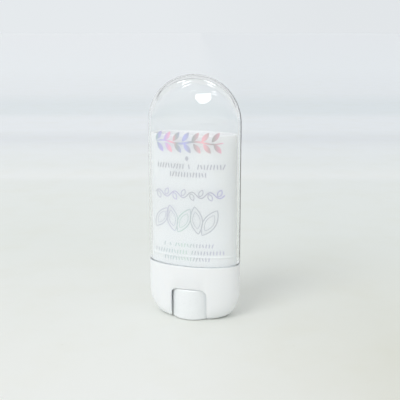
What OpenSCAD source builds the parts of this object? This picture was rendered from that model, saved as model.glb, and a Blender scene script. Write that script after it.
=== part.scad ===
// Twist-up makeup stick: a flat oval case with a thumbwheel in its foot, a clear domed cap,
// and a lead screw that lifts the product. Front is -Y, the foot stands on Z = 0.

/* [Case section] */
// Width of the oval case, outside
case_w = 29; // [26:0.1:34]
// Depth of the oval case, outside
case_d = 14; // [13:0.5:17]

/* [Base] */
// Height of the base, up to the edge that the cap closes on
base_h = 17.2; // [15:0.1:24]
// Width of the flat foot beyond the wheel's pocket, on each side
foot_wall = 1.3; // [0.8:0.1:2.4]
// How far the edge of the flat foot lies behind the case's front
foot_inset = 1.8; // [1.4:0.1:3]
// Height of the rounded lower corners, seen from the front
corner_h = 8.3; // [5:0.1:10]
// Height of the rounded lower edge, seen from the side
edge_h = 3.5; // [2:0.1:5]
// Thickness of the deck that carries the barrel and the screw
deck_t = 1.8; // [1.2:0.1:3]
// Wall left round the hollows in the two ends of the base
core_wall = 1.7; // [1:0.1:2.5]
// Height of the solid floor under those hollows
core_floor = 3.6; // [2.5:0.1:6]
// Rounding of the base's upper edge
base_edge = 0.3; // [0.1:0.05:0.6]

/* [Window] */
// Width of the window for the thumbwheel
window_w = 11.4; // [9.6:0.2:12.4]
// Height of the window above the foot
window_h = 10.1; // [8:0.1:11]
// Radius of the window's upper corners
window_r = 2.2; // [0.8:0.1:2.4]

/* [Barrel] */
// Wall of the barrel
barrel_wall = 1.0; // [0.7:0.05:1.2]
// Height of the barrel's rim above the foot
rim_z = 57.2; // [50:0.1:62]
// Rounding of the barrel's rim
rim_edge = 0.25; // [0.1:0.05:0.4]
// Height, above the base, of the bead that centres the closed cap
bead_z = 2.9; // [1.5:0.1:5]
// Width of that bead
bead_w = 0.8; // [0.4:0.1:1.4]
// Space left between that bead and the cap
bead_room = 0.12; // [0.1:0.01:0.18]

/* [Cap] */
// Wall of the cap
cap_wall = 1.0; // [0.8:0.05:1.4]
// Height at which the dome springs from the straight walls
spring_z = 60.2; // [58:0.2:70]
// Rise of the dome
dome_rise = 14.5; // [12.5:0.1:18]
// Fullness of the dome seen from the side: 2 is an ellipse, more is squarer
dome_power = 2.5; // [2:0.1:3]
// Gap between the cap's lower edge and the base
seam_gap = 0.2; // [0.1:0.05:0.4]
// Rounding of the cap's lower edge
cap_edge = 0.25; // [0.1:0.05:0.4]

/* [Thumbwheel] */
// How far the thumbwheel stands out beyond the front of the case
wheel_proud = 0.3; // [0.1:0.1:0.7]
// Rounding of the wheel's lower and upper edges
wheel_edge = 0.5; // [0.3:0.1:1.2]
// Wall of the wheel's outer ring
wheel_wall = 1.2; // [0.9:0.1:1.6]
// Radius of the wheel's hub
hub_r = 3; // [2.6:0.1:3.6]
// Thickness of the wheel's upper web
web_t = 1.6; // [1.2:0.1:2.4]
// Number of spokes under the web
spokes = 6; // [3:1:10]
// Thickness of a spoke
spoke_t = 0.9; // [0.6:0.1:1.2]
// How far the spokes stop short of the wheel's lower face
spoke_drop = 0.6; // [0.2:0.1:2]

/* [Lead screw] */
// Largest radius of the thread
thread_r = 2.6; // [2.4:0.05:2.8]
// Smallest radius of the thread
thread_root = 1.8; // [1.4:0.05:2]
// Starts of the thread
starts = 2; // [1:1:3]
// Rise of the elevator for each turn of the wheel
lead = 6; // [4:0.5:9]
// Height of the screw's tip above the foot
screw_z = 51; // [40:0.5:52]
// Radius of the journal in the deck
journal_r = 2.2; // [2:0.05:2.5]
// Space left round the collar that rests on the deck
collar_room = 0.75; // [0.5:0.05:1.2]
// Thickness of the collar
collar_t = 1.1; // [0.8:0.1:1.6]
// Width of the square tang in the wheel
tang_w = 2.6; // [2.2:0.1:2.8]
// Length of the square tang in the wheel
tang_l = 5; // [3:0.1:6]

/* [Elevator] */
// Thickness of the elevator's plate
plate_t = 1.4; // [1:0.1:2]
// Height of the rim that wipes the barrel, above the plate
wiper_h = 3; // [2:0.1:5]
// Thickness of that rim
wiper_t = 0.9; // [0.6:0.05:1]
// Height of the threaded hub above the plate
nut_h = 5; // [3.5:0.1:8]
// Wall of the threaded hub round the thread's crests
nut_wall = 0.7; // [0.6:0.05:1]

/* [Balm] */
// Height of the balm's top above the foot
balm_z = 55.5; // [48:0.5:56]
// Rise of its rounded top
balm_rise = 7; // [4:0.5:8]

/* [Clearances] */
// Between the cap and the barrel
cap_gap = 0.25; // [0.2:0.05:0.4]
// Between the barrel and the base that holds it
seat_gap = 0.05; // [0.02:0.01:0.1]
// Between the barrel and what slides in it
slide_gap = 0.25; // [0.2:0.05:0.4]
// Between the thumbwheel and the base
wheel_gap = 0.3; // [0.25:0.05:0.5]
// Radial, between the journal and its bore
journal_gap = 0.06; // [0.03:0.01:0.1]
// Between the two threads
thread_gap = 0.28; // [0.25:0.01:0.4]
// Between the tang and its socket
tang_gap = 0.04; // [0.02:0.01:0.1]

/* [Hidden] */
$fn = 64;
// Points round an oval section
oval_n = 64;
// Steps of a large round, a rounded edge and a small edge, in degrees
arc_step = 10;
edge_step = 15;
small_step = 30;
// Last even step of a dome, and one more row close to its top, in degrees
dome_end = 80;
dome_crown = 86;
// Share of a dome's section that is left flat at its top
tip = 0.04;
// A cut runs past the face that it opens in
past = 1;
// Points round the thread's section, and its slices in each turn
thread_n = 20;
turn_n = 12;

case_a = case_w / 2;
case_b = case_d / 2;
wheel_r = case_b + wheel_proud;
pocket_r = wheel_r + wheel_gap;
foot_a = pocket_r + foot_wall;
foot_b = case_b - foot_inset;
deck_z = window_h;
seat_z = deck_z + deck_t;
bore_a = case_a - cap_wall;
bore_b = case_b - cap_wall;
barrel_a = bore_a - cap_gap;
barrel_b = bore_b - cap_gap;
well_a = barrel_a - barrel_wall;
well_b = barrel_b - barrel_wall;
load_a = well_a - slide_gap;
load_b = well_b - slide_gap;
cap_z = base_h + seam_gap;
wheel_z0 = wheel_gap / 2;
wheel_z1 = deck_z - wheel_gap;
ring_r = wheel_r - wheel_wall;
collar_r = well_b - collar_room;
collar_z = seat_z + journal_gap;
thread_z = collar_z + collar_t;
plate_z = thread_z + slide_gap;
load_z = plate_z + plate_t;
wiper_z = load_z + wiper_h;
nut_z = load_z + nut_h;
nut_r = thread_r + thread_gap + nut_wall;
shoulder_z = balm_z - balm_rise;

function oval(a, b) = [for (i = [0 : oval_n - 1]) [a * cos(i * 360 / oval_n), b * sin(i * 360 / oval_n)]];

// One lobe for each start, swelling smoothly from the root to the crest
function thread_section(root, crest) = [
    for (i = [0 : thread_n - 1])
        let (turn = i * 360 / thread_n, r = (crest + root) / 2 + (crest - root) / 2 * cos(starts * turn))
        [r * cos(turn), r * sin(turn)]
];

module oval_prism(a, b, z0, z1) {
    translate([0, 0, z0]) linear_extrude(z1 - z0) polygon(oval(a, b));
}

// Skin stretched over oval sections from the lowest up, each given as [a, b, z]
module loft(sections) {
    rows = len(sections);
    points = [for (s = sections) for (p = oval(s[0], s[1])) [p[0], p[1], s[2]]];
    sides = [
        for (row = [0 : rows - 2]) for (i = [0 : oval_n - 1])
            let (low = row * oval_n, high = low + oval_n, j = (i + 1) % oval_n)
            each [[low + i, high + i, high + j], [low + i, high + j, low + j]]
    ];
    floor_face = [for (i = [0 : oval_n - 1]) i];
    top_face = [for (i = [oval_n - 1 : -1 : 0]) (rows - 1) * oval_n + i];
    polyhedron(points, concat([floor_face], sides, [top_face]), convexity = 4);
}

function dome_depth(up) = pow(1 - pow(up, dome_power), 1 / dome_power);

// Round seen from the front, fuller seen from the side
function dome_sections(a, b, z, rise) = concat(
    [for (t = [each [0 : arc_step : dome_end], dome_crown])
        [a * cos(t), b * dome_depth(sin(t)), z + rise * sin(t)]],
    [[a * tip, b * tip, z + rise]]
);

// A straight oval body with a domed top
module domed(a, b, z0, z1, rise) {
    loft(concat([[a, b, z0]], dome_sections(a, b, z1, rise)));
}

// The base before it is hollowed: rounded lower corners and a small round at the top
module base_form() {
    corner = [
        for (t = [0 : arc_step : 90])
            let (z = corner_h * (1 - cos(t)), below = max(0, 1 - z / edge_h))
            [foot_a + (case_a - foot_a) * sin(t), foot_b + (case_b - foot_b) * sqrt(1 - below * below), z]
    ];
    edge = [
        for (t = [0 : small_step : 90])
            let (inset = base_edge * (1 - cos(t)))
            [case_a - inset, case_b - inset, base_h - base_edge * (1 - sin(t))]
    ];
    loft(concat(corner, edge));
}

// Window outline in the XZ plane, open at the foot, cut right through the depth
module window() {
    top_w = window_w / 2 - window_r;
    top_z = window_h - window_r;
    translate([0, case_d, 0]) rotate([90, 0, 0]) linear_extrude(2 * case_d) {
        translate([-window_w / 2, -past]) square([window_w, top_z + past]);
        translate([-top_w, -past]) square([2 * top_w, window_h + past]);
        for (side = [-1, 1]) translate([side * top_w, top_z]) circle(window_r);
    }
}

// Hollows that keep the two ends of the moulding from being solid lumps
module end_cores() {
    translate([0, 0, core_floor]) linear_extrude(seat_z - core_floor + past) difference() {
        polygon(oval(barrel_a - core_wall, barrel_b - core_wall));
        circle(pocket_r + core_wall);
    }
}

module base() {
    color("white") difference() {
        base_form();
        oval_prism(barrel_a + seat_gap, barrel_b + seat_gap, seat_z, base_h + past);
        translate([0, 0, -past]) cylinder(r = pocket_r, h = deck_z + past);
        translate([0, 0, deck_z - past]) cylinder(r = journal_r + journal_gap, h = deck_t + 2 * past);
        window();
        end_cores();
    }
}

// An oval tube with a low bead near its foot and a small round at its rim
module barrel() {
    bead = cap_gap - bead_room;
    middle = base_h + bead_z;
    color("whitesmoke") difference() {
        loft([[barrel_a, barrel_b, seat_z], [barrel_a, barrel_b, middle - bead_w / 2],
              [barrel_a + bead, barrel_b + bead, middle - bead_w / 4],
              [barrel_a + bead, barrel_b + bead, middle + bead_w / 4],
              [barrel_a, barrel_b, middle + bead_w / 2], [barrel_a, barrel_b, rim_z - rim_edge],
              [barrel_a - rim_edge, barrel_b - rim_edge, rim_z]]);
        oval_prism(well_a, well_b, seat_z - past, rim_z + past);
    }
}

module cap() {
    color("aliceblue", 0.35) difference() {
        loft(concat([[case_a - cap_edge, case_b - cap_edge, cap_z], [case_a, case_b, cap_z + cap_edge]],
                    dome_sections(case_a, case_b, spring_z, dome_rise)));
        domed(bore_a, bore_b, cap_z - past, spring_z, dome_rise - cap_wall);
    }
}

// Quarter round in a section, from the angle from, about the centre [x, z]
function quarter(x, z, r, from) = [for (t = [from : edge_step : from + 90]) [x + r * cos(t), z + r * sin(t)]];

// Half section of the wheel: a rounded rim, a web at the top and a hub, hollow from below
module wheel_section() {
    flat_r = wheel_r - wheel_edge;
    web_z = wheel_z1 - web_t;
    polygon(concat(
        [[0, wheel_z0], [hub_r, wheel_z0], [hub_r, web_z], [ring_r, web_z], [ring_r, wheel_z0]],
        quarter(flat_r, wheel_z0 + wheel_edge, wheel_edge, -90),
        quarter(flat_r, wheel_z1 - wheel_edge, wheel_edge, 0),
        [[0, wheel_z1]]
    ));
}

module thumbwheel() {
    spoke_z0 = wheel_z0 + spoke_drop;
    spoke_end = (ring_r + wheel_r) / 2;
    socket_w = tang_w + 2 * tang_gap;
    color("white") difference() {
        union() {
            rotate_extrude() wheel_section();
            for (i = [0 : spokes - 1]) rotate(i * 360 / spokes) translate([hub_r / 2, -spoke_t / 2, spoke_z0])
                cube([spoke_end - hub_r / 2, spoke_t, wheel_z1 - web_t / 2 - spoke_z0]);
        }
        translate([-socket_w / 2, -socket_w / 2, wheel_z1 - tang_l]) cube([socket_w, socket_w, tang_l + past]);
    }
}

module thread(root, crest, z0, z1) {
    translate([0, 0, z0])
        linear_extrude(z1 - z0, twist = 360 * (z1 - z0) / lead, slices = ceil((z1 - z0) / lead * turn_n),
                       $fn = thread_n)
        rotate(-360 * (z0 - thread_z) / lead) polygon(thread_section(root, crest));
}

module lead_screw() {
    color("ivory") {
        translate([-tang_w / 2, -tang_w / 2, wheel_z1 - tang_l]) cube([tang_w, tang_w, tang_l]);
        translate([0, 0, wheel_z1]) cylinder(r = journal_r, h = collar_z - wheel_z1);
        translate([0, 0, collar_z]) cylinder(r = collar_r, h = collar_t);
        thread(thread_root, thread_r, thread_z, screw_z);
    }
}

module elevator() {
    color("gainsboro") difference() {
        union() {
            oval_prism(load_a, load_b, plate_z, load_z);
            difference() {
                oval_prism(load_a, load_b, load_z, wiper_z);
                oval_prism(load_a - wiper_t, load_b - wiper_t, load_z, wiper_z + past);
            }
            translate([0, 0, load_z]) cylinder(r = nut_r, h = nut_h);
        }
        thread(thread_root + thread_gap, thread_r + thread_gap, plate_z - past, nut_z + past);
    }
}

module balm() {
    color("mistyrose") difference() {
        domed(load_a, load_b, load_z, shoulder_z, balm_rise);
        difference() {
            oval_prism(load_a + past, load_b + past, load_z - past, wiper_z);
            oval_prism(load_a - wiper_t, load_b - wiper_t, load_z - past, wiper_z);
        }
        translate([0, 0, load_z - past]) cylinder(r = nut_r, h = nut_h + past);
        cylinder(r = thread_r + slide_gap, h = screw_z + slide_gap);
    }
}

base();
barrel();
thumbwheel();
lead_screw();
elevator();
balm();
cap();
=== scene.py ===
# %% [markdown]
# # A twist-up makeup stick
# A flat oval stick of balm in a white case, with a clear domed cap and a thumbwheel in its foot.
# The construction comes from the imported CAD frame. This script gives each piece its real surface
# and finish, and lights it softly on a pale table.

# %% Load the frame
import math

import bmesh
import bpy
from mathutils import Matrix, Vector


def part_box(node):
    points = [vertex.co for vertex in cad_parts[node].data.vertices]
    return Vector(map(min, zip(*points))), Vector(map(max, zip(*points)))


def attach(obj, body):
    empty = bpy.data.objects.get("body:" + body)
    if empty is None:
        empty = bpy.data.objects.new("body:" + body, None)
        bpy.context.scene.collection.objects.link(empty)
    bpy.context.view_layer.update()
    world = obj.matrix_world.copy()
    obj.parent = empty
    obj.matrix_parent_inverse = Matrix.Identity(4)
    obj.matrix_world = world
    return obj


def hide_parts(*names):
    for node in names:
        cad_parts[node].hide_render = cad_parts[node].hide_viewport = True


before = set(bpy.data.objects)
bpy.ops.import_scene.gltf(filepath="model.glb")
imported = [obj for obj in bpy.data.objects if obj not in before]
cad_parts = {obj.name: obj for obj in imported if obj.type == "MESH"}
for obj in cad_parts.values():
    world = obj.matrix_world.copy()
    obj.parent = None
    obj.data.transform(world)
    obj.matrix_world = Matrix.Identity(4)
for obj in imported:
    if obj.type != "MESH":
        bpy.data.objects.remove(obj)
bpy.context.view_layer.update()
MM = 0.001

# %% [markdown]
# ## Sizes
# The overall sizes are read from the frame, so a changed CAD model changes the looks with it.
# What a box can't tell, such as a wall or a radius, is a named value in millimetres. The ones that
# several pieces share are here, and the others come with their piece.

# %% Sizes
base_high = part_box("base")[1]
barrel_low, barrel_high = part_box("barrel")
balm_low, balm_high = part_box("balm")
cap_low, cap_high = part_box("cap")
wheel_low, wheel_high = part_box("thumbwheel")

CASE_A = base_high.x
CASE_B = base_high.y
WHEEL_R = wheel_high.x

CAP_WALL = 1.0 * MM
CAP_GAP = 0.25 * MM
SPIGOT_A = CASE_A - CAP_WALL - CAP_GAP
SPIGOT_B = CASE_B - CAP_WALL - CAP_GAP
DOME_RISE = 14.5 * MM
DOME_POWER = 2.5
SPRING_Z = cap_high.z - DOME_RISE
AROUND = 224
print("case half width, half depth:", round(CASE_A / MM, 2), round(CASE_B / MM, 2))

# %% [markdown]
# ## Adding nodes
# Node trees for geometry and for materials are built by the same short function, which adds one
# node, sets it up and links it. Several materials colour a value along a range, which takes two
# nodes and a list of stops, so the second function does that.


# %% Nodes
def add(tree, kind, inputs=(), **settings):
    """Adds a node. inputs are its values in order, or a dict of them by socket name or number.

    A value can also be a socket to link from, or a node, which stands for its first output.
    """
    node = tree.nodes.new(kind)
    for name, value in settings.items():
        setattr(node, name, value)
    given = inputs if isinstance(inputs, dict) else dict(enumerate(inputs))
    for name, value in given.items():
        source = value.outputs[0] if isinstance(value, bpy.types.Node) else value
        if isinstance(source, bpy.types.NodeSocket):
            tree.links.new(source, node.inputs[name])
        else:
            node.inputs[name].default_value = source
    return node


def coloured(tree, value, stops):
    """Colours a value. stops are (value, linear colour), and the first and last give the range."""
    first, last = stops[0][0], stops[-1][0]
    share = add(tree, "ShaderNodeMapRange", {"Value": value, "From Min": first, "From Max": last})
    ramp = add(tree, "ShaderNodeValToRGB", {"Fac": share})
    elements = ramp.color_ramp.elements
    while len(elements) < len(stops):
        elements.new(0.5)
    for element, (at, colour) in zip(elements, stops):
        element.position = (at - first) / (last - first)
        element.color = colour
    return ramp.outputs["Color"]


# %% [markdown]
# ## Colour
# Colours are written as sRGB hex values, as in a paint chart. Shaders work in linear light, so
# one function turns them over.


# %% Colour
def linear(hex_colour):
    parts = [int(hex_colour[i : i + 2], 16) / 255 for i in (1, 3, 5)]
    return [c / 12.92 if c <= 0.04045 else ((c + 0.055) / 1.055) ** 2.4 for c in parts] + [1.0]


def shader(name):
    """A new material with its Principled shader and its Object coordinates."""
    material = bpy.data.materials.new(name)
    material.use_nodes = True
    tree = material.node_tree
    principled = tree.nodes["Principled BSDF"]
    place = tree.nodes.new("ShaderNodeTexCoord").outputs["Object"]
    return material, tree, principled, place


# %% [markdown]
# ## Moulded white plastic
# The base and the wheel are injection moulded ABS from a polished tool. That gives the eye a clean
# gloss with a very slight waviness, where the plastic shrank behind thick sections, and a white that
# is a touch cool. A fine grain in the roughness keeps large highlights from looking like enamel. It
# is drawn coarser than the real one, so that it shows. The barrel is polypropylene, which comes out
# of the mould satin, and so do the hidden works.

# %% Moulded white plastic
GRAIN = 0.35 * MM
WAVE_DEPTH = 0.05 * MM
WAVE_TONE = 0.975


def moulded(name, colour, wave_mm, gloss):
    material, tree, principled, place = shader(name)
    wave = add(tree, "ShaderNodeTexNoise", {"Vector": place, "Scale": 1 / (wave_mm * MM), "Detail": 1.0})
    grain = add(tree, "ShaderNodeTexNoise", {"Vector": place, "Scale": 1 / GRAIN, "Detail": 3.0})
    darker = [c * WAVE_TONE for c in linear(colour)[:3]] + [1.0]
    tone = add(tree, "ShaderNodeMix", {0: wave, 6: linear(colour), 7: darker}, data_type="RGBA")
    rough = add(tree, "ShaderNodeMapRange", {"Value": grain, "To Min": gloss * 0.8, "To Max": gloss * 1.25})
    bump = add(tree, "ShaderNodeBump", {"Height": wave, "Strength": 0.12, "Distance": WAVE_DEPTH})
    tree.links.new(tone.outputs[2], principled.inputs["Base Color"])
    tree.links.new(rough.outputs["Result"], principled.inputs["Roughness"])
    tree.links.new(bump.outputs["Normal"], principled.inputs["Normal"])
    principled.inputs["IOR"].default_value = 1.53
    principled.inputs["Subsurface Weight"].default_value = 0.25
    principled.inputs["Subsurface Radius"].default_value = [1.2 * MM, 1.1 * MM, 1.0 * MM]
    print("made", material.name)
    return material


BASE_WHITE = moulded("gloss white moulded ABS", "#eff1f2", 6, 0.24)
WHEEL_WHITE = moulded("gloss white moulded ABS of the wheel", "#eef1f2", 4, 0.28)
WHEEL_WHITE.node_tree.nodes["Principled BSDF"].inputs["Subsurface Weight"].default_value = 0.0
# The barrel's white is a little darker than the base's: painted shade for the light the cap holds back.
BARREL_WHITE = moulded("satin white moulded polypropylene", "#eaedef", 7, 0.42)
NATURAL_PP = moulded("natural moulded polypropylene", "#eceae2", 5, 0.5)

# %% [markdown]
# ## Painted shade in the joint, and painted light at the ends of the barrel
# Little light gets into the joint between base and barrel, so both have a band of painted shade there.
# The barrel is a little paler near its rim, and again near its foot, as it is in the photograph: this
# is painted light, where no balm lies behind the thin wall at the rim, and where the white base throws
# light up at the foot.


# %% Painted joint shade and painted light at the ends
def height_in(material):
    place = material.node_tree.nodes["Texture Coordinate"].outputs["Object"]
    return add(material.node_tree, "ShaderNodeSeparateXYZ", {"Vector": place}).outputs["Z"]


def mix_in(material, share, colour):
    """Mixes a colour over the material's own, by a share from 0 to 1."""
    tree = material.node_tree
    socket = tree.nodes["Principled BSDF"].inputs["Base Color"]
    given = {0: share, 6: socket.links[0].from_socket, 7: linear(colour)}
    tone = add(tree, "ShaderNodeMix", given, data_type="RGBA")
    tree.links.new(tone.outputs[2], socket)


def painted_joint_shade(material, level, reach, colour):
    """Greys a thin band at a level, as painted shade in a joint."""
    tree = material.node_tree
    above = add(tree, "ShaderNodeMath", (height_in(material), level), operation="SUBTRACT")
    away = add(tree, "ShaderNodeMath", (above,), operation="ABSOLUTE")
    ends = {"Value": away, "From Min": 0.0, "From Max": reach, "To Min": 1.0, "To Max": 0.0}
    mix_in(material, add(tree, "ShaderNodeMapRange", ends, interpolation_type="SMOOTHSTEP"), colour)


def painted_light_beyond(material, level, reach, colour):
    """Turns paler above a level, or below it where the reach is negative, as painted light."""
    tree = material.node_tree
    ends = {"Value": height_in(material), "From Min": level - reach, "From Max": level + reach}
    mix_in(material, add(tree, "ShaderNodeMapRange", ends, interpolation_type="SMOOTHSTEP"), colour)


# Painted shade in the joint between base and barrel, on both of them.
painted_joint_shade(BASE_WHITE, base_high.z, 0.2 * MM, "#bac0c3")
painted_joint_shade(BARREL_WHITE, base_high.z + 0.2 * MM, 0.45 * MM, "#b4babd")
# Painted light: paler near the barrel's foot, where the base throws light up, and near its rim.
painted_light_beyond(BARREL_WHITE, 32 * MM, -8 * MM, "#edf0f2")
painted_light_beyond(BARREL_WHITE, barrel_high.z - 1.6 * MM, 1.4 * MM, "#eff1f3")
print("joint line at", round(base_high.z / MM, 2), "mm")

# %% [markdown]
# ## Clear SAN
# The cap is a clear styrene plastic, moulded in a mirror-polished tool. It bends light about as much
# as glass does, so its edges draw thin dark outlines, and its faces hold sharp reflections. Here
# and there the polish is a trace weaker, which softens them a little, and a trace of haze lifts the
# darkest lines.

# %% Clear SAN
CAP_CLEAR, tree, principled, place = shader("clear polished SAN")
haze = add(tree, "ShaderNodeTexNoise", {"Vector": place, "Scale": 1 / (7 * MM), "Detail": 2.0})
ends = {"Value": haze, "From Min": 0.35, "From Max": 0.75, "To Max": 0.006}
polish = add(tree, "ShaderNodeMapRange", ends)
tree.links.new(polish.outputs["Result"], principled.inputs["Roughness"])
principled.inputs["Base Color"].default_value = linear("#fdfefe")
principled.inputs["IOR"].default_value = 1.49
principled.inputs["Transmission Weight"].default_value = 0.985
print("made", CAP_CLEAR.name)

# %% [markdown]
# ## Cast balm
# The product is a wax and oil balm with pearl, poured warm. Its skin is soft and slightly greasy,
# so it shines weakly and lets a little light in, and the pearl shows as fine pale flecks. The real
# flakes are finer, and are drawn as coarse as they need to be to show.

# %% Balm
BALM_PEARL, tree, principled, place = shader("cast pearl balm")
fleck = add(tree, "ShaderNodeTexVoronoi", {"Vector": place, "Scale": 1 / (0.25 * MM)})
grease = add(tree, "ShaderNodeTexNoise", {"Vector": place, "Scale": 1 / (1.6 * MM), "Detail": 4.0})
pearl = coloured(tree, fleck, [(0.12, linear("#faf7f8")), (0.45, linear("#f3eeef"))])
bump = add(tree, "ShaderNodeBump", {"Height": grease, "Strength": 0.25, "Distance": 0.05 * MM})
tree.links.new(pearl, principled.inputs["Base Color"])
tree.links.new(bump.outputs["Normal"], principled.inputs["Normal"])
principled.inputs["Roughness"].default_value = 0.38
principled.inputs["Subsurface Weight"].default_value = 0.25
principled.inputs["Subsurface Radius"].default_value = [1.2 * MM, 0.8 * MM, 0.7 * MM]
principled.inputs["Coat Weight"].default_value = 0.15
print("made", BALM_PEARL.name)


# %% [markdown]
# ## Foil print
# The print on the cap is hot-stamped rainbow and silver foil, with grey inks. Real rainbow foil
# changes with the eye's place. Here the colours run along the width instead, so they stay put from
# any side. The motifs are plain leaves, a vine and rows of small marks.


# %% Foil and ink
SWAY = 1.2 * MM


def foil(name, stops, metallic, rough):
    """A foil or ink whose colours run along X and sway a little. stops are (place in mm, colour)."""
    material, tree, principled, place = shader(name)
    drift = add(tree, "ShaderNodeTexNoise", {"Vector": place, "Scale": 1 / (2.5 * MM), "Detail": 2.0})
    sway = add(tree, "ShaderNodeMath", (drift, SWAY, -SWAY / 2), operation="MULTIPLY_ADD")
    split = add(tree, "ShaderNodeSeparateXYZ", (place,))
    at_x = add(tree, "ShaderNodeMath", (split.outputs["X"], sway), operation="ADD")
    colours = coloured(tree, at_x, [(at * MM, linear(colour)) for at, colour in stops])
    tree.links.new(colours, principled.inputs["Base Color"])
    principled.inputs["Metallic"].default_value = metallic
    principled.inputs["Roughness"].default_value = rough
    print("made", material.name, "with", len(stops), "stops")
    return material


RAINBOW_FOIL = foil(
    "hot stamped rainbow foil",
    [
        (-11.5, "#b5d7b3"), (-9.4, "#c1c3e0"), (-7.4, "#cec5ed"), (-5.2, "#f7c6d1"), (-3.4, "#bdc2c3"),
        (-1.0, "#c5c7ee"), (1.6, "#babec0"), (4.6, "#f5c9d0"), (7.4, "#bbbbbb"), (10.8, "#f9c4d6"),
    ],
    0.15,
    0.35,
)
MARK_INK = foil("screen printed neutral ink", [(-11.5, "#bec0c4"), (11.0, "#c2c3cd")], 0.1, 0.45)
SILVER_FOIL = foil(
    "hot stamped silver foil",
    [(-11.5, "#ccd0d4"), (-5.0, "#cecfdc"), (-2.0, "#c8dad4"), (2.0, "#c5c9cf"), (11.0, "#c6c9cf")],
    0.15,
    0.35,
)
GREY_INK = foil(
    "screen printed grey ink",
    [(-11.5, "#c6c9ce"), (-4.0, "#cac8dd"), (0.5, "#c0c3c8"), (6.0, "#c0c0cb"), (11.0, "#bebbdf")],
    0.1,
    0.45,
)
TINT_INK = foil(
    "screen printed pale ink",
    [(-11.5, "#cbced2"), (-5.0, "#cad6d8"), (-1.0, "#ceded7"), (3.0, "#c7cad1"), (11.0, "#ccccdd")],
    0.1,
    0.45,
)


# %% [markdown]
# ## From a mesh to a piece
# Every piece ends as a plain mesh with its place in its own vertices. These functions make an object
# of a bmesh, bake its modifiers, and mark hard edges by angle, so that everything else shades
# smoothly. The last one tells the frame which body a piece moves with.


# %% Pieces
def new_object(name, mesh):
    piece = bpy.data.objects.new(name, mesh)
    bpy.context.scene.collection.objects.link(piece)
    return piece


def from_bmesh(name, bm):
    """Merges doubles, turns the faces outwards and makes an object."""
    bmesh.ops.remove_doubles(bm, verts=bm.verts, dist=1e-7)
    bmesh.ops.recalc_face_normals(bm, faces=bm.faces)
    mesh = bpy.data.meshes.new(name)
    bm.to_mesh(mesh)
    bm.free()
    return new_object(name, mesh)


def baked(piece):
    """Replaces the piece's mesh by what its modifiers make, and removes them."""
    graph = bpy.context.evaluated_depsgraph_get()
    mesh = bpy.data.meshes.new_from_object(piece.evaluated_get(graph))
    piece.modifiers.clear()
    piece.data = mesh
    return piece


def smooth(piece, angle=32):
    """Shades smoothly, apart from edges that turn by more than the angle, in degrees."""
    piece.data.shade_smooth()
    piece.data.set_sharp_from_angle(angle=math.radians(angle))
    return piece


def finish_piece(piece, material, body, node):
    """Gives the piece its material and body, and hides the CAD node that it stands for."""
    piece.data.materials.clear()
    piece.data.materials.append(material)
    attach(piece, body)
    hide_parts(node)
    print(piece.name, len(piece.data.polygons), "faces")
    return piece


# %% [markdown]
# ## A domed oval, by rule
# The cap and the balm have one rule: straight oval walls, then a dome that is a half circle from
# the front and fuller from the side. A Geometry Nodes tree bends a flat grid into that shape, with
# the sizes as named inputs. A hand-built loft would do as well, but the tree shows the rule itself
# and can be tried with other sizes. Every tree here starts and ends the same way, so two functions
# do that part.


# %% Start and end of a tree
def geometry_tree(name, counts, lengths):
    """An empty tree with its named inputs: whole numbers, lengths and a material."""
    tree = bpy.data.node_groups.new(name, "GeometryNodeTree")
    tree.interface.new_socket("Geometry", in_out="OUTPUT", socket_type="NodeSocketGeometry")
    for socket in counts:
        tree.interface.new_socket(socket, in_out="INPUT", socket_type="NodeSocketInt")
    for socket in lengths:
        tree.interface.new_socket(socket, in_out="INPUT", socket_type="NodeSocketFloat")
    tree.interface.new_socket("Material", in_out="INPUT", socket_type="NodeSocketMaterial")
    return tree, tree.nodes.new("NodeGroupInput").outputs


def finish_tree(tree, geometry, material):
    """Makes instances real, sets the material and ends the tree."""
    real = add(tree, "GeometryNodeRealizeInstances", {"Geometry": geometry})
    painted = add(tree, "GeometryNodeSetMaterial", {"Geometry": real, "Material": material})
    add(tree, "NodeGroupOutput", {"Geometry": painted})
    return tree


# %% Domed oval tree
ROWS = 60
STRAIGHT_SHARE = 0.35


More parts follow.
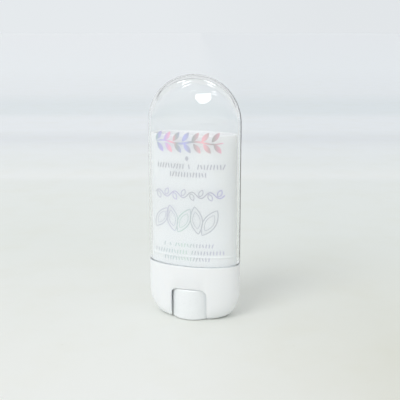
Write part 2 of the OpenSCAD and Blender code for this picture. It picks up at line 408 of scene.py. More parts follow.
def domed_oval_tree():
    lengths = ("Half Width", "Half Depth", "Foot", "Spring", "Rise", "Fullness")
    tree, given = geometry_tree("domed oval", ("Around", "Rows"), lengths)
    grid = add(
        tree,
        "GeometryNodeMeshGrid",
        {"Size X": 1.0, "Size Y": 1.0, "Vertices X": given["Rows"], "Vertices Y": given["Around"]},
    )
    spot = add(tree, "ShaderNodeSeparateXYZ", (tree.nodes.new("GeometryNodeInputPosition"),))
    row = add(tree, "ShaderNodeMath", (spot.outputs["X"], 0.5), operation="ADD")
    share_round = add(tree, "ShaderNodeMath", (spot.outputs["Y"], 0.5), operation="ADD")
    turn = add(tree, "ShaderNodeMath", (share_round, math.tau), operation="MULTIPLY")
    up_wall = add(tree, "ShaderNodeMath", (row, STRAIGHT_SHARE), operation="DIVIDE")
    straight = add(tree, "ShaderNodeMath", (up_wall, 1.0), operation="MINIMUM")
    past_wall = add(tree, "ShaderNodeMath", (row, STRAIGHT_SHARE), operation="SUBTRACT")
    over = add(tree, "ShaderNodeMath", (past_wall, 0.0), operation="MAXIMUM")
    over_share = add(tree, "ShaderNodeMath", (over, 1 - STRAIGHT_SHARE), operation="DIVIDE")
    lean = add(tree, "ShaderNodeMath", (over_share, math.pi / 2), operation="MULTIPLY")
    up = add(tree, "ShaderNodeMath", (lean,), operation="SINE")
    towards_axis = add(tree, "ShaderNodeMath", (lean,), operation="COSINE")
    narrow = add(tree, "ShaderNodeMath", (towards_axis, 0.0), operation="MAXIMUM")
    fuller = add(tree, "ShaderNodeMath", (up, given["Fullness"]), operation="POWER")
    what_is_left = add(tree, "ShaderNodeMath", (1.0, fuller), operation="SUBTRACT")
    flatter = add(tree, "ShaderNodeMath", (what_is_left, 0.0), operation="MAXIMUM")
    root = add(tree, "ShaderNodeMath", (1.0, given["Fullness"]), operation="DIVIDE")
    thinner = add(tree, "ShaderNodeMath", (flatter, root), operation="POWER")
    half_width = add(tree, "ShaderNodeMath", (given["Half Width"], narrow), operation="MULTIPLY")
    half_depth = add(tree, "ShaderNodeMath", (given["Half Depth"], thinner), operation="MULTIPLY")
    cosine = add(tree, "ShaderNodeMath", (turn,), operation="COSINE")
    sine = add(tree, "ShaderNodeMath", (turn,), operation="SINE")
    x = add(tree, "ShaderNodeMath", (half_width, cosine), operation="MULTIPLY")
    y = add(tree, "ShaderNodeMath", (half_depth, sine), operation="MULTIPLY")
    wall_h = add(tree, "ShaderNodeMath", (given["Spring"], given["Foot"]), operation="SUBTRACT")
    wall_z = add(tree, "ShaderNodeMath", (wall_h, straight, given["Foot"]), operation="MULTIPLY_ADD")
    z = add(tree, "ShaderNodeMath", (given["Rise"], up, wall_z), operation="MULTIPLY_ADD")
    target = add(tree, "ShaderNodeCombineXYZ", (x, y, z))
    shaped = add(tree, "GeometryNodeSetPosition", {"Geometry": grid, "Position": target})
    sewn = add(tree, "GeometryNodeMergeByDistance", {"Geometry": shaped, "Distance": 1e-6})
    return finish_tree(tree, sewn, given["Material"])


# %% Running a tree
def run_tree(name, tree, values):
    """Runs a Geometry Nodes tree with its inputs set by their identifiers, and keeps a plain mesh."""
    piece = new_object(name, bpy.data.meshes.new(name))
    step = piece.modifiers.new("shape", "NODES")
    step.node_group = tree
    for socket in tree.interface.items_tree:
        if socket.in_out == "INPUT":
            step[socket.identifier] = values[socket.name]
    return baked(piece)


DOMED_OVAL = domed_oval_tree()


def domed_oval(name, a, b, foot, spring, rise, material):
    values = {
        "Half Width": a, "Half Depth": b, "Foot": foot, "Spring": spring, "Rise": rise,
        "Fullness": DOME_POWER, "Around": AROUND + 1, "Rows": ROWS, "Material": material,
    }
    piece = run_tree(name, DOMED_OVAL, values)
    bm = bmesh.new()
    bm.from_mesh(piece.data)
    bpy.data.objects.remove(piece)
    return bm


# %% [markdown]
# ## The cap
# A clear moulded shell with an even wall. The tree gives the outside, and Solidify adds the wall on
# the inside, which keeps the same thickness right over the dome. A light bevel rounds the lip.
# Lamps can't be traced through bent clear walls in a short render, so the shell is left out of
# shadow and diffuse rays. The light then reaches the barrel inside, as it does in life.

# %% Cap
def soften(piece, width, segments=2, angle=40):
    """Rounds the sharp edges a little, as a mould does."""
    step = piece.modifiers.new("soften", "BEVEL")
    step.width = width
    step.segments = segments
    step.limit_method = "ANGLE"
    step.angle_limit = math.radians(angle)
    step.use_clamp_overlap = True
    return baked(piece)


cap = from_bmesh(
    "clear_cap", domed_oval("cap_skin", CASE_A, CASE_B, cap_low.z, SPRING_Z, DOME_RISE, CAP_CLEAR)
)
wall = cap.modifiers.new("wall", "SOLIDIFY")
wall.thickness = CAP_WALL
wall.offset = -1
wall.use_even_offset = True
baked(cap)
smooth(soften(cap, 0.22 * MM, segments=3, angle=60), 50)
finish_piece(cap, CAP_CLEAR, "cap", "cap")
cap.visible_shadow = False
cap.visible_diffuse = False

# %% [markdown]
# ## The balm
# The same rule makes the balm, with a lower dome. Its underside is closed flat, where it was cast
# on the elevator.

# %% Balm piece
BALM_RISE = 7.0 * MM
bm = domed_oval(
    "balm_skin", balm_high.x, balm_high.y, balm_low.z, balm_high.z - BALM_RISE, BALM_RISE, BALM_PEARL
)
bmesh.ops.holes_fill(bm, edges=[e for e in bm.edges if e.is_boundary])
balm = smooth(from_bmesh("balm_stick", bm), 50)
finish_piece(balm, BALM_PEARL, "lift", "balm")


# %% [markdown]
# ## Lofts
# The base and the barrel are skins stretched over oval sections. Each section is a half width, a
# half depth and a height, and the ends are closed. Round corners are written as arcs.


# %% Outlines
def arc(start, steps):
    """Angles of a quarter turn from start, which is in degrees."""
    return [math.radians(start + 90 * step / steps) for step in range(steps + 1)]


def circle(radius, count=AROUND):
    turns = [math.tau * i / count for i in range(count)]
    return [(radius * math.cos(turn), radius * math.sin(turn)) for turn in turns]


def oval_outline(a, b):
    return [(a * u, b * v) for u, v in circle(1.0)]


# %% Lofts and prisms
def skin(bm, rings, closed=False):
    """Joins each ring of corners to the next one, and the last to the first if closed."""
    pairs = list(zip(rings, rings[1:])) + ([(rings[-1], rings[0])] if closed else [])
    for low, high in pairs:
        for i in range(len(low)):
            j = (i + 1) % len(low)
            bm.faces.new((low[i], low[j], high[j], high[i]))


def loft(name, sections, closed=False):
    """A skin over oval sections from the lowest up. A closed loft joins its last section to its first."""
    bm = bmesh.new()
    rings = [[bm.verts.new((u, v, z)) for u, v in oval_outline(a, b)] for a, b, z in sections]
    skin(bm, rings, closed)
    if not closed:
        bm.faces.new(list(reversed(rings[0])))
        bm.faces.new(rings[-1])
    return from_bmesh(name, bm)


def prism(name, outline, low, high, axis="Z"):
    """A solid with a flat outline, from low to high along Z, or along Y for an outline in XZ."""
    bm = bmesh.new()
    if axis == "Z":
        ends = [[bm.verts.new((u, v, h)) for u, v in outline] for h in (low, high)]
    else:
        ends = [[bm.verts.new((u, h, v)) for u, v in outline] for h in (low, high)]
    bm.faces.new(ends[0])
    bm.faces.new(ends[1])
    skin(bm, ends)
    return from_bmesh(name, bm)


def upper_edge(a, b, top, radius, way):
    """Sections that round an upper edge. way is -1 for an outside edge and 1 for a bore's."""
    sections = []
    for t in arc(0, 4):
        inset = way * radius * (1 - math.cos(t))
        sections.append((a + inset, b + inset, top - radius * (1 - math.sin(t))))
    return sections


# %% [markdown]
# ## The barrel
# A white oval tube with a small round on its rim, which catches the light through the cap, and a low
# bead near its foot, which centres the closed cap.

# %% Barrel
BARREL_WALL = 1.0 * MM
RIM_EDGE = 0.25 * MM
BEAD_Z = base_high.z + 2.9 * MM
BEAD_W = 0.8 * MM
BEAD_RISE = 0.13 * MM
well_a, well_b = SPIGOT_A - BARREL_WALL, SPIGOT_B - BARREL_WALL
outer_edge = upper_edge(SPIGOT_A, SPIGOT_B, barrel_high.z, RIM_EDGE, -1)
inner_edge = upper_edge(well_a, well_b, barrel_high.z, RIM_EDGE, 1)
rim = outer_edge + inner_edge[::-1]
bead = []
for step in range(-1, 10):
    t = step / 8
    swell = BEAD_RISE * math.sin(math.pi * min(max(t, 0.0), 1.0))
    bead.append((SPIGOT_A + swell, SPIGOT_B + swell, BEAD_Z + BEAD_W * (t - 0.5)))
tube = [(SPIGOT_A, SPIGOT_B, barrel_low.z)] + bead + rim + [(well_a, well_b, barrel_low.z)]
barrel = smooth(loft("oval_barrel", tube, closed=True), 40)
finish_piece(barrel, BARREL_WHITE, "case", "barrel")

# %% [markdown]
# ## The base
# The foot of the case: rounded lower corners, a socket for the barrel, a round pocket for the wheel
# and a window through both faces. It starts as one skin, and the hollows are cut out as a mould's
# cores would shape them.

# %% Base skin
FOOT_A = 8.9 * MM
FOOT_B = 5.2 * MM
CORNER_H = 8.3 * MM
EDGE_H = 3.5 * MM
TOP_EDGE = 0.3 * MM
corner = []
for t in arc(0, 16):
    z = CORNER_H * (1 - math.cos(t))
    below = max(0.0, 1 - z / EDGE_H)
    a = FOOT_A + (CASE_A - FOOT_A) * math.sin(t)
    b = FOOT_B + (CASE_B - FOOT_B) * math.sqrt(1 - below**2)
    corner.append((a, b, z))
base = loft("base_foot", corner + upper_edge(CASE_A, CASE_B, base_high.z, TOP_EDGE, -1))
print("base skin:", len(base.data.polygons), "faces")

# %% [markdown]
# ### Hollows of the base
# Each hollow runs a little past the surface that it opens through, because two faces that lie in
# one plane confuse a Boolean. The cores leave a wall round the wheel's pocket. The cut edges get a
# small round, which is what makes them read as plastic.

# %% Base hollows
WINDOW_W = 11.4 * MM
WINDOW_H = 10.0 * MM
WINDOW_R = 2.2 * MM
SOCKET_GAP = 0.05 * MM
WHEEL_GAP = 0.3 * MM
BORE_R = 2.26 * MM
CORE_WALL = 1.7 * MM
CORE_FLOOR = 3.6 * MM
PAST = 2 * MM


def cut(piece, *cutters):
    """Cuts each cutter out of the piece, then removes the cutters."""
    for cutter in cutters:
        step = piece.modifiers.new("cut", "BOOLEAN")
        step.operation = "DIFFERENCE"
        step.solver = "EXACT"
        step.object = cutter
    baked(piece)
    for cutter in cutters:
        bpy.data.objects.remove(cutter)
    return piece


half_w, shelf = WINDOW_W / 2, WINDOW_H - WINDOW_R
window_outline = [(-half_w, -PAST), (half_w, -PAST)]
for side, start in ((1, 0), (-1, 90)):
    centre = side * (half_w - WINDOW_R)
    for t in arc(start, 8):
        window_outline.append((centre + WINDOW_R * math.cos(t), shelf + WINDOW_R * math.sin(t)))
pocket_r = WHEEL_R + WHEEL_GAP
socket_outline = oval_outline(SPIGOT_A + SOCKET_GAP, SPIGOT_B + SOCKET_GAP)
socket = prism("socket", socket_outline, barrel_low.z, base_high.z + PAST)
pocket = prism("pocket", circle(pocket_r), -PAST, WINDOW_H)
bore = prism("bore", circle(BORE_R, 48), WINDOW_H - PAST / 2, barrel_low.z + PAST)
window = prism("window", window_outline, -CASE_B - PAST, CASE_B + PAST, axis="Y")
cores = prism(
    "cores", oval_outline(SPIGOT_A - CORE_WALL, SPIGOT_B - CORE_WALL), CORE_FLOOR, barrel_low.z + PAST
)
cut(cores, prism("core_keep", circle(pocket_r + CORE_WALL), 0, base_high.z))
cut(base, socket, pocket, bore, window, cores)
smooth(soften(base, 0.12 * MM), 32)
finish_piece(base, BASE_WHITE, "case", "base")


# %% [markdown]
# ## The thumbwheel
# A round wheel with soft edges, hollow from below with a hub and six spokes. The rim is a turned
# section spun round the axis. The spokes repeat, so a small tree sets them round a circle.


# %% Thumbwheel section
def spun(name, section):
    """A closed section of (radius, height) points, spun round Z."""
    bm = bmesh.new()
    skin(bm, [[bm.verts.new((r * u, r * v, z)) for u, v in circle(1.0)] for r, z in section])
    return from_bmesh(name, bm)


WHEEL_EDGE = 0.5 * MM
WHEEL_WALL = 1.2 * MM
HUB_R = 3.0 * MM
WEB_T = 1.6 * MM
flat_r = WHEEL_R - WHEEL_EDGE
ring_r = WHEEL_R - WHEEL_WALL
web_z = wheel_high.z - WEB_T
section = [(0, wheel_low.z), (HUB_R, wheel_low.z), (HUB_R, web_z), (ring_r, web_z), (ring_r, wheel_low.z)]
for middle, start in ((wheel_low.z + WHEEL_EDGE, -90), (wheel_high.z - WHEEL_EDGE, 0)):
    for t in arc(start, 8):
        section.append((flat_r + WHEEL_EDGE * math.cos(t), middle + WHEEL_EDGE * math.sin(t)))
section.append((0, wheel_high.z))
wheel = spun("thumbwheel_rim", section)


# %% Spokes
SPOKES = 6
SPOKE_T = 0.9 * MM
SPOKE_DROP = 0.6 * MM


def spokes_tree():
    lengths = ("Inner Radius", "Outer Radius", "Thickness", "Low", "High")
    tree, given = geometry_tree("spokes", ("Count",), lengths)
    length = add(tree, "ShaderNodeMath", (given["Outer Radius"], given["Inner Radius"]), operation="SUBTRACT")
    height = add(tree, "ShaderNodeMath", (given["High"], given["Low"]), operation="SUBTRACT")
    both_radii = add(tree, "ShaderNodeMath", (given["Outer Radius"], given["Inner Radius"]), operation="ADD")
    middle = add(tree, "ShaderNodeMath", (both_radii, 0.5), operation="MULTIPLY")
    both_levels = add(tree, "ShaderNodeMath", (given["High"], given["Low"]), operation="ADD")
    level = add(tree, "ShaderNodeMath", (both_levels, 0.5), operation="MULTIPLY")
    index = tree.nodes.new("GeometryNodeInputIndex")
    share_round = add(tree, "ShaderNodeMath", (index, given["Count"]), operation="DIVIDE")
    turn = add(tree, "ShaderNodeMath", (share_round, math.tau), operation="MULTIPLY")
    size = add(tree, "ShaderNodeCombineXYZ", (length, given["Thickness"], height))
    bar = add(tree, "GeometryNodeMeshCube", {"Size": size})
    ring = add(tree, "GeometryNodeMeshCircle", {"Vertices": given["Count"], "Radius": middle})
    lift = add(tree, "ShaderNodeCombineXYZ", {"Z": level})
    raised = add(tree, "GeometryNodeSetPosition", {"Geometry": ring, "Offset": lift})
    facing = add(tree, "ShaderNodeCombineXYZ", {"Z": turn})
    bars = {"Points": raised, "Instance": bar, "Rotation": facing}
    placed = add(tree, "GeometryNodeInstanceOnPoints", bars)
    return finish_tree(tree, placed, given["Material"])


spokes = run_tree(
    "spokes",
    spokes_tree(),
    {
        "Count": SPOKES, "Inner Radius": HUB_R / 2, "Outer Radius": (ring_r + WHEEL_R) / 2,
        "Thickness": SPOKE_T, "Low": wheel_low.z + SPOKE_DROP, "High": wheel_high.z - WEB_T / 2,
        "Material": WHEEL_WHITE,
    },
)
join = wheel.modifiers.new("join", "BOOLEAN")
join.operation = "UNION"
join.solver = "EXACT"
join.use_self = True
join.object = spokes
baked(wheel)
bpy.data.objects.remove(spokes)
smooth(wheel, 32)
finish_piece(wheel, WHEEL_WHITE, "wheel", "thumbwheel")

# %% [markdown]
# ## Hidden works
# The lead screw and the elevator keep their CAD shape. They are out of sight inside the barrel, so
# they only need the finish of plain polypropylene.

# %% Hidden works
for name in ("lead_screw", "elevator"):
    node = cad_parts[name]
    node.data.materials.clear()
    node.data.materials.append(NATURAL_PP)
    print(name, "keeps", len(node.data.polygons), "CAD faces")


# %% [markdown]
# ## Print on the cap
# Foil and ink lie on the cap's front as a skin a few hundredths of a millimetre thick. Every motif
# is a ribbon: a path with a width at each point, laid on the oval front and given that thickness.
# A leaf is a ribbon that swells, an outline is one that closes on itself.


# %% Ribbons
PRINT_T = 0.03 * MM
PRINT_LIFT = 0.01 * MM
TIP_W = 0.06 * MM


def on_front(x, z, lift):
    """The point of the cap's front face at x and z, raised by lift."""
    share = max(0.0, 1 - (x / CASE_A) ** 2)
    y = -CASE_B * math.sqrt(share)
    slope = Vector((x / CASE_A**2, y / CASE_B**2, 0)).normalized()
    return Vector((x, y, z)) + slope * lift


def ribbon(bm, path, widths, closed=False):
    """Adds a thin strip along a path of (x, z) points, with a width at each."""
    count = len(path)
    rows = []
    for i in range(count):
        before = path[(i - 1) % count] if closed or i else path[i]
        after = path[(i + 1) % count] if closed or i < count - 1 else path[i]
        way = Vector((after[0] - before[0], after[1] - before[1])).normalized()
        side = Vector((-way.y, way.x)) * widths[i] / 2
        left = (path[i][0] + side.x, path[i][1] + side.y)
        right = (path[i][0] - side.x, path[i][1] - side.y)
        under, over = PRINT_LIFT, PRINT_LIFT + PRINT_T
        corners = ((left, under), (right, under), (right, over), (left, over))
        rows.append([bm.verts.new(on_front(*spot, lift)) for spot, lift in corners])
    skin(bm, rows, closed)
    if not closed:
        bm.faces.new(rows[0])
        bm.faces.new(list(reversed(rows[-1])))


# %% Leaves
def leaf_path(x, z, length, tilt, count=25):
    """A leaf's middle line through x, z, and how wide the leaf is along it, from 0 to 1."""
    lean = math.radians(tilt)
    path, share = [], []
    for i in range(count):
        t = i / (count - 1)
        path.append((x + (t - 0.5) * length * math.sin(lean), z + (t - 0.5) * length * math.cos(lean)))
        share.append(math.sin(math.pi * t) ** 0.8 if 0 < t < 1 else 0.0)
    return path, share


def leaf(bm, x, z, length, width, tilt):
    path, share = leaf_path(x, z, length, tilt)
    ribbon(bm, path, [max(width * s, TIP_W) for s in share])


def leaf_outline(bm, x, z, length, width, tilt, stroke):
    """The same leaf as a closed line, up one side and down the other."""
    path, share = leaf_path(x, z, length, tilt)
    lean = math.radians(tilt)
    sides = []
    for way in (1, -1):
        out = Vector((math.cos(lean), -math.sin(lean))) * way * width / 2
        sides.append([(u + out.x * s, v + out.y * s) for (u, v), s in zip(path, share)])
    loop = sides[0] + sides[1][-2:0:-1]
    ribbon(bm, loop, [stroke] * len(loop), closed=True)


def on_cap(piece, material):
    """Gives a piece of print its ink and fixes it to the cap. It is too thin to throw a shadow."""
    piece.data.materials.clear()
    piece.data.materials.append(material)
    piece.visible_shadow = False
    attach(piece, "cap")
    print(piece.name, len(piece.data.polygons), "faces")


# %% [markdown]
# ### Rainbow branch
# The boldest band of the print, across the level of the barrel's rim: a branch with slim leaves on
# both sides, in rainbow foil, and one bud below it.

# %% Rainbow branch
BRANCH_Z, BRANCH_HALF, BRANCH_WAVE = 55.2 * MM, 10.3 * MM, 0.35 * MM
BRANCH_POINTS = 61
STEM_THIN, STEM_SWELL = 0.25 * MM, 0.35 * MM
PAIRS = 7
LEAF_L, LEAF_W, LEAF_OUT, LEAF_SHIFT = 3.5 * MM, 1.4 * MM, 1.65 * MM, 0.5 * MM
LEAF_TILT = 38
bm = bmesh.new()
stem, widths = [], []
for i in range(BRANCH_POINTS):
    t = i / (BRANCH_POINTS - 1)
    stem.append((-BRANCH_HALF + 2 * BRANCH_HALF * t, BRANCH_Z + BRANCH_WAVE * math.sin(2 * math.tau * t)))
    widths.append(STEM_THIN + STEM_SWELL * math.sin(math.pi * t))
ribbon(bm, stem, widths)
for i in range(PAIRS):
    x = -BRANCH_HALF + 2 * BRANCH_HALF * (i + 0.3) / PAIRS
    leaf(bm, x, BRANCH_Z + LEAF_OUT, LEAF_L, LEAF_W, LEAF_TILT)
    leaf(bm, x + LEAF_SHIFT, BRANCH_Z - LEAF_OUT, LEAF_L, LEAF_W, 180 - LEAF_TILT)
on_cap(smooth(from_bmesh("print_rainbow_branch", bm), 50), RAINBOW_FOIL)

BUD_X, BUD_Z, BUD_L, BUD_W = -0.2 * MM, 50.5 * MM, 1.5 * MM, 1.0 * MM
bm = bmesh.new()
leaf(bm, BUD_X, BUD_Z, BUD_L, BUD_W, 0)
on_cap(smooth(from_bmesh("print_bud", bm), 50), GREY_INK)

# %% [markdown]
# ### Vine and outlined leaves
# A thin vine in grey ink runs under the small marks, with an outlined leaf on each of its bends.
# Below it a sprig of outlined leaves in silver foil takes the largest place. Each of its leaves has
# an inner line, as on a foil block.

# %% Vine and sprig
VINE_Z, VINE_HALF, VINE_H, VINE_L = 39.6 * MM, 10.8 * MM, 0.9 * MM, 5.4 * MM
VINE_POINTS, VINE_STROKE = 140, 0.3 * MM
BEND_LEAF_L, BEND_LEAF_W, BEND_LEAF_OUT, BEND_STROKE = 2.2 * MM, 1.2 * MM, 0.6 * MM, 0.24 * MM
bm = bmesh.new()
vine = []
for i in range(VINE_POINTS):
    x = -VINE_HALF + 2 * VINE_HALF * i / (VINE_POINTS - 1)
    vine.append((x, VINE_Z + VINE_H * math.sin(math.tau * x / VINE_L)))
ribbon(bm, vine, [VINE_STROKE] * VINE_POINTS)
for i in range(-4, 4):
    x = (i + 0.5) * VINE_L / 2
    way = 1 if i % 2 else -1
    leaf_outline(bm, x, VINE_Z + way * BEND_LEAF_OUT, BEND_LEAF_L, BEND_LEAF_W, 25 * way, BEND_STROKE)
on_cap(smooth(from_bmesh("print_vine", bm), 50), GREY_INK)

# Each leaf of the sprig: place across, place above SPRIG_Z, length and width in mm, tilt in degrees.
SPRIG_Z = 31.8 * MM
SPRIG = (
    (-8.6, 0.2, 7.4, 3.4, 35), (-5.0, 0.3, 8.0, 3.5, -12), (-1.2, -0.2, 8.2, 3.6, 28),
    (2.7, 0.1, 8.4, 3.6, -8), (6.6, -0.6, 8.8, 3.8, 30),
)
SPRIG_LINES = ((1.0, 0.28 * MM), (0.62, 0.18 * MM))
bm = bmesh.new()
for x, z, length, width, tilt in SPRIG:
    for share, stroke in SPRIG_LINES:
        size = MM * share
        leaf_outline(bm, x * MM, SPRIG_Z + z * MM, length * size, width * size, tilt, stroke)
on_cap(smooth(from_bmesh("print_sprig", bm), 50), SILVER_FOIL)


# %% [markdown]
# ### Rows of small marks
# From a step away the small lines read as rows of fine hatching. A tree sets one thin bar at each
# point of a line, gives each its own lean and height from a fixed seed, drops a few to leave gaps,
# and then bends the whole row onto the oval front.


# %% Marks tree
KEPT = 0.93
SHORTEST = 0.75


def marks_tree():
    lengths = (
        "Half Length", "Level", "Mark Width", "Mark Height", "Lean",
        "Thickness", "Lift", "Half Width", "Half Depth",
    )
    tree, given = geometry_tree("row of marks", ("Count", "Seed"), lengths)
    seed = given["Seed"]
    left = add(tree, "ShaderNodeMath", (given["Half Length"], -1.0), operation="MULTIPLY")
    start = add(tree, "ShaderNodeCombineXYZ", {"X": left, "Z": given["Level"]})
    end = add(tree, "ShaderNodeCombineXYZ", {"X": given["Half Length"], "Z": given["Level"]})
    ends = {"Count": given["Count"], "Start Location": start, "Offset": end}
    line = add(tree, "GeometryNodeMeshLine", ends, mode="END_POINTS")
    size = add(tree, "ShaderNodeCombineXYZ", (given["Mark Width"], given["Thickness"], given["Mark Height"]))
    bar = add(tree, "GeometryNodeMeshCube", {"Size": size})
    keep = add(tree, "FunctionNodeRandomValue", {"Probability": KEPT, "Seed": seed}, data_type="BOOLEAN")
    tall = add(tree, "FunctionNodeRandomValue", {2: SHORTEST, 3: 1.0, "Seed": seed}, data_type="FLOAT")
    scale = add(tree, "ShaderNodeCombineXYZ", (1.0, 1.0, tall.outputs[1]))
    least = add(tree, "ShaderNodeMath", (given["Lean"], -1.0), operation="MULTIPLY")
    leans = {2: least, 3: given["Lean"], "Seed": seed}
    tilt = add(tree, "FunctionNodeRandomValue", leans, data_type="FLOAT")
    lean = add(tree, "ShaderNodeCombineXYZ", {"Y": tilt.outputs[1]})
    placed = add(
        tree,
        "GeometryNodeInstanceOnPoints",
        {"Points": line, "Instance": bar, "Selection": keep.outputs[3], "Scale": scale, "Rotation": lean},
    )
    real = add(tree, "GeometryNodeRealizeInstances", {"Geometry": placed})
    spot = add(tree, "ShaderNodeSeparateXYZ", (tree.nodes.new("GeometryNodeInputPosition"),))
    across = add(tree, "ShaderNodeMath", (spot.outputs["X"], given["Half Width"]), operation="DIVIDE")
    squared = add(tree, "ShaderNodeMath", (across, across), operation="MULTIPLY")
    what_is_left = add(tree, "ShaderNodeMath", (1.0, squared), operation="SUBTRACT")
    round_share = add(tree, "ShaderNodeMath", (what_is_left,), operation="SQRT")
    depth = add(tree, "ShaderNodeMath", (given["Half Depth"], round_share), operation="MULTIPLY")
    front = add(tree, "ShaderNodeMath", (depth, -1.0), operation="MULTIPLY")
    half_thick = add(tree, "ShaderNodeMath", (given["Thickness"], 0.5), operation="MULTIPLY")
    rise = add(tree, "ShaderNodeMath", (given["Lift"], half_thick), operation="ADD")
    middle = add(tree, "ShaderNodeMath", (front, rise), operation="SUBTRACT")
    y = add(tree, "ShaderNodeMath", (middle, spot.outputs["Y"]), operation="ADD")
    target = add(tree, "ShaderNodeCombineXYZ", (spot.outputs["X"], y, spot.outputs["Z"]))
    bent = add(tree, "GeometryNodeSetPosition", {"Geometry": real, "Position": target})
    return finish_tree(tree, bent, given["Material"])


MARK_W = 0.32 * MM
MARK_LEAN = math.radians(22)
MARKS = marks_tree()


def marks_row(name, level, half_length, height, count, seed, material):
    """One row of small marks. The level, half length and height are in millimetres."""
    values = {
        "Count": count, "Seed": seed, "Half Length": half_length * MM, "Level": level * MM,
        "Mark Width": MARK_W, "Mark Height": height * MM, "Lean": MARK_LEAN, "Thickness": PRINT_T,
        "Lift": PRINT_LIFT, "Half Width": CASE_A, "Half Depth": CASE_B, "Material": material,
    }
    on_cap(run_tree(name, MARKS, values), material)


# %% Marks
marks_row("print_marks_upper", 48.1, 10.6, 1.6, 24, 3, MARK_INK)
marks_row("print_marks_short", 45.7, 5.4, 1.6, 13, 5, MARK_INK)
marks_row("print_marks_low_1", 24.0, 7.5, 1.3, 17, 7, TINT_INK)
marks_row("print_marks_low_2", 21.8, 10.6, 1.3, 24, 11, TINT_INK)
marks_row("print_marks_low_3", 19.7, 7.4, 1.3, 17, 13, TINT_INK)

# %% [markdown]
# ## Table
# A pale table, one wide disc, so that every view has the same ground, and it keeps the stick's
# shadow. Away from the stick it fades from a warm white to a cool one, in soft bands as in the
# photograph. The bands run across the line from the camera to the stick. They crowd together in the
# distance, so the ramp runs over the inverse of the distance from the foot of the camera. To the
# right, most of all near the stick, the table is darkened and warmed with painted shade, where the
# light falls off. Faint stains and a few crumbs keep the surface from looking like paper.

# %% Table
YAW, PITCH = math.radians(16.2), math.radians(12.9)
AWAY = (-math.sin(YAW), math.cos(YAW), 0)
ACROSS = (math.cos(YAW), math.sin(YAW), 0)
TABLE_R = 20.0
CAMERA_BACK = 222 * MM
NEAREST = 120 * MM
BANDS = (
    (-66, "#eff1ee"), (-36, "#edefeb"), (29, "#e9ece8"), (84, "#e6eae6"), (175, "#e8ece9"),
    (208, "#e8ecea"), (224, "#edf0ef"), (263, "#e9edec"), (318, "#e9edee"), (348, "#e7ebed"),
    (378, "#e3e7ea"), (402, "#e4e8eb"), (438, "#e9edf0"), (532, "#e9edf0"), (579, "#e2e8eb"),
    (682, "#e1e7ea"), (840, "#e8ecef"), (1514, "#ebeff2"), (12000, "#ebeef1"),
)

bm = bmesh.new()
bmesh.ops.create_circle(bm, cap_ends=True, radius=TABLE_R, segments=96)
table = from_bmesh("table", bm)
TABLE_PALE, tree, principled, place = shader("pale table")
away = add(tree, "ShaderNodeVectorMath", (place, AWAY), operation="DOT_PRODUCT").outputs["Value"]
across = add(tree, "ShaderNodeVectorMath", (place, ACROSS), operation="DOT_PRODUCT").outputs["Value"]
depth = add(tree, "ShaderNodeMath", (away, CAMERA_BACK), operation="ADD")
in_front = add(tree, "ShaderNodeMath", (depth, NEAREST), operation="MAXIMUM")
inverse = add(tree, "ShaderNodeMath", (1.0, in_front), operation="DIVIDE")
stops = [(1 / (at * MM + CAMERA_BACK), linear(colour)) for at, colour in BANDS]
bands = coloured(tree, inverse, stops)
print("table:", len(BANDS), "bands, radius", TABLE_R, "m")

# %% Painted shade and wear on the table
SHADE_AWAY, SHADE_ACROSS = (-40 * MM, 90 * MM), (-5 * MM, 55 * MM)
NEAR_PAINTED_SHADE, FAR_PAINTED_SHADE = (0.875, 0.872, 0.83, 1.0), (0.963, 0.968, 0.972, 1.0)
STAIN_TINT, CRUMB_TINT = (0.985, 0.98, 0.962, 1.0), (0.88, 0.87, 0.84, 1.0)
STAIN, CRUMB_GAP, CRUMB_SIZE = 22 * MM, 8 * MM, 0.045
beyond = add(tree, "ShaderNodeMapRange", {"Value": away, "From Min": SHADE_AWAY[0], "From Max": SHADE_AWAY[1]})
to_right = add(
    tree, "ShaderNodeMapRange", {"Value": across, "From Min": SHADE_ACROSS[0], "From Max": SHADE_ACROSS[1]}
)
worn = add(tree, "ShaderNodeTexNoise", {"Vector": place, "Scale": 1 / STAIN, "Detail": 4.0, "Roughness": 0.6})
stains = add(tree, "ShaderNodeMapRange", {"Value": worn, "From Min": 0.45, "From Max": 0.75})
crumb = add(tree, "ShaderNodeTexVoronoi", {"Vector": place, "Scale": 1 / CRUMB_GAP, "Randomness": 1.0})
small = add(tree, "ShaderNodeMath", (crumb, CRUMB_SIZE), operation="LESS_THAN")
crumbs = add(tree, "ShaderNodeMath", (small, stains), operation="MULTIPLY")
# Painted shade: the table darkens to the right, most of all near the stick, where the light falls off.
painted_shade = add(tree, "ShaderNodeMix", {0: beyond, 6: NEAR_PAINTED_SHADE, 7: FAR_PAINTED_SHADE}, data_type="RGBA")
surface = bands
for share, colour in ((to_right, painted_shade.outputs[2]), (stains, STAIN_TINT), (crumbs, CRUMB_TINT)):
    given = {0: share, 6: surface, 7: colour}
    surface = add(tree, "ShaderNodeMix", given, data_type="RGBA", blend_type="MULTIPLY").outputs[2]
tree.links.new(surface, principled.inputs["Base Color"])
principled.inputs["Roughness"].default_value = 0.7
principled.inputs["Specular IOR Level"].default_value = 0.1
table.data.materials.append(TABLE_PALE)
print("made", TABLE_PALE.name)

# %% [markdown]
# ## Camera
# The photograph was taken close by, from a little above and from the stick's right front. The pixel
# values below belong to the photograph's 400 by 400 frame.


# %% Camera
def aimed(name, data, place, target):
    """Puts a camera or a lamp at a place and turns it towards its target."""
    item = bpy.data.objects.new(name, data)
    bpy.context.scene.collection.objects.link(item)
    item.location = place
    item.rotation_euler = (Vector(target) - Vector(place)).to_track_quat("-Z", "Y").to_euler()
    return item


